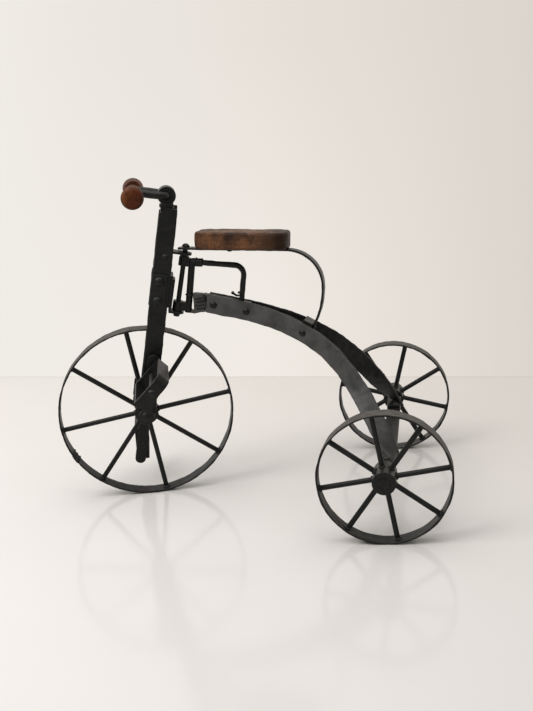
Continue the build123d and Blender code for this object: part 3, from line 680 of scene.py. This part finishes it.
# middle and axle of each wheel, inside of its band and radius of its hub in mm, seed
wheelSet = {
    "front": (frontHub, forkLeft, 142.0, 19.5, 100),
    "left": (leftMiddle, sideways, 95.9, 17.5, 200),
    "right": (rightMiddle, sideways, 95.9, 17.5, 300),
}
for wheel, values in wheelSet.items():
    weldWheel(wheel, *values)


def inFrame(x, y, z):
    return Vector((rearAxle.x + x * mm, y * mm, z * mm))


steerFoot = Vector(jointNamed("steering")["pos_m"])
steerFoot -= steerUp * (steerFoot.z / steerUp.z)


def inFork(x, y, z):
    return steerFoot + forkAhead * (x * mm) + forkLeft * (y * mm) + steerUp * (z * mm)


# runs of weld in mm from the rear axle: start, end, half thickness, made on both sides
# rings of weld: middle, direction, bar's radius, thickness
frameWeldSet = {
    "seams": [
        ((288.4, 8.8, 339.6), (282.9, 8.8, 311.0), 2.1),
        ((290.5, 7.0, 334.0), (304.5, 6.9, 331.5), 1.5),
        ((289.0, 7.0, 328.5), (303.5, 6.9, 327.0), 1.6),
        ((289.5, 7.0, 322.0), (305.0, 6.9, 321.5), 1.5),
        ((288.0, 7.0, 316.5), (303.0, 6.9, 316.0), 1.6),
    ],
    "rings": [
        ((313.6, 0, 338.5), (-13.5, 0, 82.5), 5.2, 1.5),
        ((317.4, 0, 314.5), (-13.5, 0, 82.5), 5.2, 1.5),
        ((298.0, 0, 391.2), (1, 0, 0.117), 6.0, 1.5),
        ((228.7, 0, 338.5), (9.2, 0, -59.8), 4.3, 1.3),
    ],
    "ringFlat": 1.1,
    "seamSeed": 400,
    "ringSeed": 430,
}


def weldFrame(values):
    shape = bmesh.new()
    for index, (start, end, thick) in enumerate(values["seams"]):
        for side in (1, -1):
            first, last = (inFrame(x, y * side, z) for x, y, z in (start, end))
            addSeam(shape, first, last, thick * mm, values["seamSeed"] + 2 * index + side)
    for index, (middle, way, radius, thick) in enumerate(values["rings"]):
        along, seed = Vector(way).normalized(), values["ringSeed"] + index
        addBead(shape, inFrame(*middle), along, radius * mm, thick * mm, seed, values["ringFlat"])
    addPiece("frame_welds", shape, bodyOf("head_plate"), "black_iron")


# runs of weld across the neck of the fork in mm: start, end, half thickness
forkWeldSet = {
    "seams": [
        ((48.3, -15.0, 487.6), (48.3, 15.0, 487.6), 1.9),
        ((28.4, -15.0, 487.2), (28.4, 15.0, 487.2), 1.9),
    ],
    "seed": 450,
}


def weldFork(values):
    shape = bmesh.new()
    for index, (start, end, thick) in enumerate(values["seams"]):
        addSeam(shape, inFork(*start), inFork(*end), thick * mm, values["seed"] + index)
    addPiece("fork_welds", shape, bodyOf("left_blade"), "black_iron")


weldFrame(frameWeldSet)
weldFork(forkWeldSet)

# where the front band's two ends are lapped and welded: angles in degrees, the rest in mm
lapSet = {
    "turn": 318.4,
    "half": 3.4,
    "radius": 145.0,
    "proud": 1.6,
    "sunk": 2.0,
    "width": 24.5,
    "steps": 16,
    "columns": 10,
    "ragged": (0.10, 0.05),  # wave and roughness of the lap's two ends
    "worn": 0.5,  # how far the lap's outer corners are worn down
    "uneven": (0.9, 1.1),
    "seams": (-0.8, 0.1, 0.9),  # places of the welds on the inside, as shares of half the lap
    "seamThick": 1.9,
    "seamIn": 3.4,
    "seamShort": 1,
    "seed": 7,
    "seamSeed": 470,
}


def gridFaces(shape, first, second):
    for index in range(len(first) - 1):
        shape.faces.new((first[index], first[index + 1], second[index + 1], second[index]))


def outward(turn):
    return forkAhead * math.cos(turn) + wheelUp * math.sin(turn)


def addLap(values):
    shape = bmesh.new()
    draw = random.Random(values["seed"])
    steps, columns = values["steps"], values["columns"]
    wavy, rough = values["ragged"]
    grids = []
    for proud in (True, False):
        grid = []
        for step in range(steps + 1):
            share = 2 * step / steps - 1
            row = []
            for column in range(columns + 1):
                aside = 2 * column / columns - 1
                wander = wavy * math.sin(5 * aside + 1) + rough * draw.uniform(-1, 1)
                ragged = 1 + wander * abs(share) ** 3
                angle = math.radians(values["turn"] + values["half"] * share * ragged)
                edge = (1 - abs(share) ** 4) * (1 - values["worn"] * abs(aside) ** 8)
                lift = -values["sunk"]
                if proud:
                    lift = values["proud"] * edge * draw.uniform(*values["uneven"])
                point = frontHub + outward(angle) * ((values["radius"] + lift) * mm)
                row.append(shape.verts.new(point + forkLeft * (aside * values["width"] / 2 * mm)))
            grid.append(row)
        grids.append(grid)
    for grid in grids:
        for first, second in zip(grid, grid[1:]):
            gridFaces(shape, first, second)
    top, low = grids
    for column in (0, columns):
        gridFaces(shape, [row[column] for row in top], [row[column] for row in low])
    for step in (0, steps):
        gridFaces(shape, top[step], low[step])
    # the weld on the inside of the lap
    half = forkLeft * ((values["width"] / 2 - values["seamShort"]) * mm)
    thick = values["seamThick"] * mm
    for index, share in enumerate(values["seams"]):
        angle = math.radians(values["turn"] + values["half"] * share)
        root = frontHub + outward(angle) * ((values["radius"] - values["seamIn"]) * mm)
        addSeam(shape, root - half, root + half, thick, values["seamSeed"] + index)
    addPiece("front_band_lap", shape, bodyOf("front_rim"), "worn_band")


addLap(lapSet)
print("welds on")

floorSet = {
    "near": (0.82, 0.80, 0.785, 1),
    "far": (0.84, 0.805, 0.765, 1),
    "shadeTone": (0.30, 0.25, 0.20, 1),
    "cloud": (0.42, 0.40, 0.38, 1),
    "line": (0.30, 0.25, 0.21, 1),
    "bounce": (0.62, 0.59, 0.56, 1),  # what the floor gives back to the tricycle
    "roughness": 0.13,
    "shine": 0.5,
    # metres between which each tone comes on
    "depth": (-0.75, 0.5),
    "side": (0.7, -0.5),
    "lineWide": 0.022,
    # how strong each tone is, and the grain of the clouds
    "shadeAmount": 0.22,
    "lineAmount": 0.12,
    "clouds": (0.3, 0.7, 0.0, 0.05),
    "cloudGrain": (3.2, 4, 0.6),
    # where the floor ends: two points on that line, then the sheet's half width and its near edge
    "end": ((0.78889, -0.76972), (-0.51187, -0.65608)),
    "half": 4,
    "nearEdge": 5,
}


# slope of the line where the floor ends, and where it crosses x = 0
def floorEnd(values):
    (firstX, firstY), (secondX, secondY) = values["end"]
    slope = (secondY - firstY) / (secondX - firstX)
    return slope, firstY - firstX * slope


def makeFloor(values):
    material = bpy.data.materials.new("paleFloor")
    material.use_nodes = True
    tree = material.node_tree
    shader = tree.nodes["Principled BSDF"]
    shader.inputs["Roughness"].default_value = values["roughness"]
    shader.inputs["Specular IOR Level"].default_value = values["shine"]
    place = addNode(tree, "SeparateXYZ", {0: addNode(tree, "NewGeometry").outputs["Position"]}).outputs
    tone = mixColour(tree, spread(tree, place["Y"], *values["depth"]), values["far"], values["near"])
    # painted shade: the floor turns darker and warmer towards negative x
    sideShade = times(tree, spread(tree, place["X"], *values["side"]), values["shadeAmount"])
    tone = mixColour(tree, sideShade, tone, values["shadeTone"])
    clouds = noiseNode(tree, addNode(tree, "TexCoord").outputs["Object"], *values["cloudGrain"])
    tone = mixColour(tree, spread(tree, clouds, *values["clouds"]), tone, values["cloud"])
    # a narrow line of painted shade where the floor ends
    slope, start = floorEnd(values)
    ahead = mathNode(tree, "SUBTRACT", place["Y"], times(tree, place["X"], slope))
    end = spread(tree, ahead, start + values["lineWide"], start, 0.0, values["lineAmount"])
    tone = mixColour(tree, end, tone, values["line"])
    seen = addNode(tree, "LightPath").outputs["Is Camera Ray"]
    tone = mixColour(tree, seen, values["bounce"], tone)
    tree.links.new(tone, shader.inputs["Base Color"])
    return material


def addFloor(values):
    slope, start = floorEnd(values)
    half, nearEdge = values["half"], values["nearEdge"]
    far = [(x, start + x * slope, 0) for x in (-half, half)]
    mesh = bpy.data.meshes.new("floor")
    mesh.from_pydata([*far, (half, nearEdge, 0), (-half, nearEdge, 0)], [], [(0, 1, 2, 3)])
    mesh.materials.append(makeFloor(values))
    floor = bpy.data.objects.new("floor", mesh)
    scene.collection.objects.link(floor)
    return floor


floorPiece = addFloor(floorSet)

# place, target, width and height, power, colour
lampSet = {
    "keyLight": ((1.5, 1.2, 2.2), (0, 0, 0.2), (1.6, 1.6), 34, (1, 0.985, 0.965)),
    "topLight": ((0, 0.3, 2.4), (0, -0.1, 0.2), (2.4, 2.0), 22, (1, 0.99, 0.975)),
}


def addLamp(name, place, target, size, power, colour):
    lamp = bpy.data.lights.new(name, "AREA")
    lamp.shape = "RECTANGLE"
    lamp.size, lamp.size_y = size
    lamp.energy = power
    lamp.color = colour
    holder = bpy.data.objects.new(name, lamp)
    holder.location = place
    holder.rotation_euler = (Vector(target) - Vector(place)).to_track_quat("-Z", "Y").to_euler()
    scene.collection.objects.link(holder)


for name, values in lampSet.items():
    addLamp(name, *values)

# colours of the backdrop behind the floor, painted lighter on the left and low down and darker with painted
# shade towards the right, and the slopes of the view between which each comes on
roomSet = {
    "left": (0.868, 0.842, 0.79, 1),
    "middle": (0.80, 0.755, 0.70, 1),
    "low": (0.87, 0.825, 0.77, 1),
    "right": (0.716, 0.665, 0.61, 1),
    "leftFades": (0.44, 0.17),
    "rightComes": (0.17, -0.09),
    "lowComes": (0.05, -0.2),
    "leastDepth": 0.2,
    "mirrored": (0.05, -0.05),
    # the light that the room gives, from low at the sides to high overhead
    "glow": (1, 0.985, 0.965, 1),
    "glowRise": (-0.1, 0.7, 0.22, 0.62),
}


def makeRoom(values):
    world = bpy.data.worlds.new("softRoom")
    world.use_nodes = True
    tree = world.node_tree
    way = addNode(tree, "SeparateXYZ", {0: addNode(tree, "TexCoord").outputs["Generated"]}).outputs
    depth = mathNode(tree, "MAXIMUM", mathNode(tree, "ABSOLUTE", way["Y"]), values["leastDepth"])
    side = mathNode(tree, "DIVIDE", way["X"], depth)
    rise = mathNode(tree, "DIVIDE", way["Z"], depth)
    tone = mixColour(tree, spread(tree, rise, *values["lowComes"]), values["middle"], values["low"])
    tone = mixColour(tree, spread(tree, side, *values["leftFades"]), values["left"], tone)
    tone = mixColour(tree, spread(tree, side, *values["rightComes"]), tone, values["right"])
    ray = addNode(tree, "LightPath").outputs
    mirrored = times(tree, ray["Is Glossy Ray"], spread(tree, way["Y"], *values["mirrored"]))
    seen = mathNode(tree, "MAXIMUM", ray["Is Camera Ray"], mirrored)
    backdrop = addNode(tree, "Background", {"Color": tone, "Strength": 1.0}).outputs[0]
    glow = tree.nodes["Background"]
    glow.inputs["Color"].default_value = values["glow"]
    tree.links.new(spread(tree, way["Z"], *values["glowRise"]), glow.inputs["Strength"])
    both = addNode(tree, "MixShader", {0: seen, 1: glow.outputs[0], 2: backdrop}).outputs[0]
    tree.links.new(both, tree.nodes["World Output"].inputs["Surface"])
    return world


scene.world = makeRoom(roomSet)
scene.view_settings.view_transform = "Standard"
print("room and light set")
